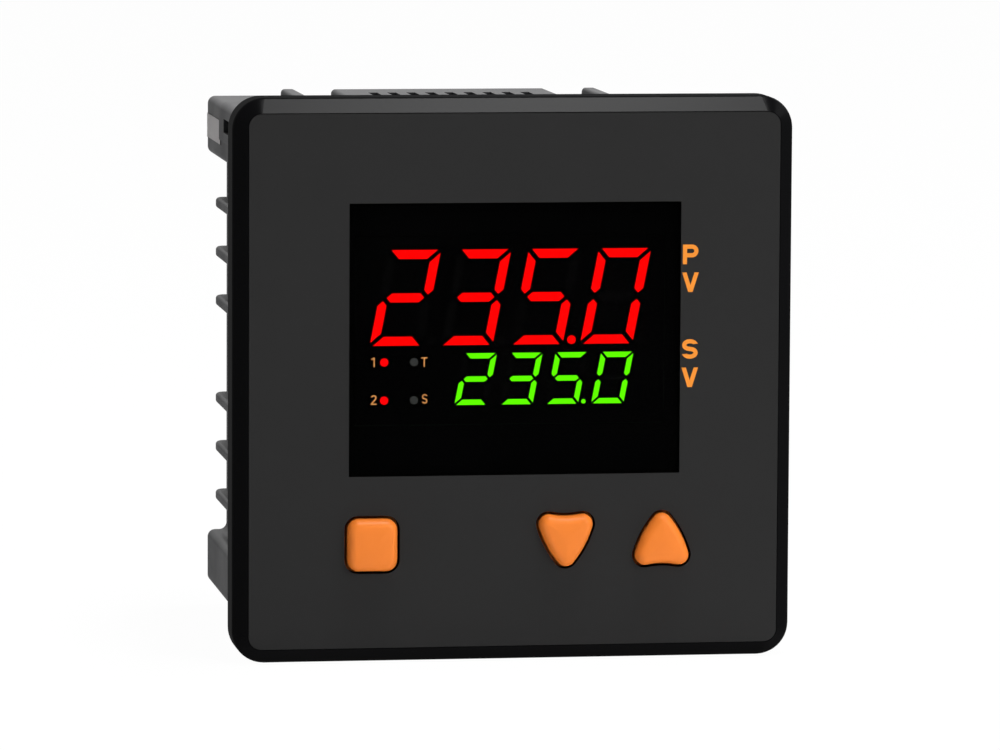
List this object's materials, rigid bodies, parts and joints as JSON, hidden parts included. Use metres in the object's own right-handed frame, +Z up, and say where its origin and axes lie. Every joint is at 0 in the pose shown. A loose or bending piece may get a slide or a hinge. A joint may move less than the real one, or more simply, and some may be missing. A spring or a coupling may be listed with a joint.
{
  "type": "temperature controller",
  "caption": "Square panel-mounted temperature controller with a smoked window over lit digits, three orange keys, a finned moulded case and rear screw terminals.",
  "frame": {"origin": "centre of the panel opening, in the plane where the front frame seats on the panel", "axes": "+Y from the front into the panel, +X to the right seen from the front, +Z up"},
  "size_m": [0.096, 0.0767, 0.096],
  "materials": {
    "frame_plastic": "glossy black moulded plastic",
    "front_sheet": "fine matt dark grey film",
    "smoked_window": "smoked clear plastic",
    "key_orange": "silky orange moulded plastic",
    "case_plastic": "dark grey moulded plastic with a satin skin",
    "inner_black": "matt black moulded plastic",
    "lit_red": "lit red diffuser",
    "lit_green": "lit green diffuser",
    "unlit_stroke": "dark diffuser behind the smoked window",
    "unlit_lamp": "unlit grey lamp",
    "gasket_rubber": "soft black rubber",
    "board_green": "green solder mask",
    "switch_black": "black plastic",
    "plunger_grey": "light grey plastic",
    "chip_black": "black moulded package",
    "bright_metal": "plated steel",
    "pin_metal": "plated pins",
    "block_plastic": "black glass-filled plastic",
    "relay_case": "blue sealed case",
    "ferrite": "dark fired ferrite",
    "winding_tape": "yellow tape",
    "can_sleeve": "dark blue sleeve",
    "fuse_case": "brown plastic",
    "disc_coating": "blue dipped coating"
  },
  "bodies": {
    "housing": {"bezel_frame": "frame_plastic", "front_overlay": "front_sheet", "display_lens": "smoked_window", "display_shroud": "inner_black", "panel_gasket": "gasket_rubber", "display_module": "inner_black", "pv_segments_lit": "lit_red", "sv_segments_lit": "lit_green", "segments_dark": "unlit_stroke", "indicator_lamps_lit": "lit_red", "indicator_lamps_dark": "unlit_lamp", "display_board": "board_green", "display_board_screws": "bright_metal", "microcontroller": "chip_black", "clock_crystal": "bright_metal", "right_header": "switch_black", "left_header": "switch_black", "header_pins": "pin_metal", "case_shell": "case_plastic", "power_board": "board_green", "control_board": "board_green", "right_terminal_block": "block_plastic", "left_terminal_block": "block_plastic", "contact_plates": "pin_metal", "clamp_plates": "bright_metal", "terminal_screws": "bright_metal", "relay_upper": "relay_case", "relay_lower": "relay_case", "converter_chip": "chip_black", "optocouplers": "chip_black", "transformer_base": "switch_black", "transformer_core": "ferrite", "transformer_winding": "winding_tape", "filter_capacitor": "can_sleeve", "output_capacitor": "can_sleeve", "fuse": "fuse_case", "varistor": "disc_coating", "mode_switch_body": "switch_black", "down_switch_body": "switch_black", "up_switch_body": "switch_black"},
    "mode_key": {"mode_key_cap": "key_orange", "mode_switch_plunger": "plunger_grey"},
    "down_key": {"down_key_cap": "key_orange", "down_switch_plunger": "plunger_grey"},
    "up_key": {"up_key_cap": "key_orange", "up_switch_plunger": "plunger_grey"}
  },
  "joints": [
    {"name": "mode_key_press", "type": "slide", "parent": "housing", "child": "mode_key", "axis": [0, 1, 0], "range_m": [0, 0.0008], "stiffness_N_per_m": 1200, "springref_m": -0.0005},
    {"name": "down_key_press", "type": "slide", "parent": "housing", "child": "down_key", "axis": [0, 1, 0], "range_m": [0, 0.0008], "stiffness_N_per_m": 1200, "springref_m": -0.0005},
    {"name": "up_key_press", "type": "slide", "parent": "housing", "child": "up_key", "axis": [0, 1, 0], "range_m": [0, 0.0008], "stiffness_N_per_m": 1200, "springref_m": -0.0005}
  ]
}
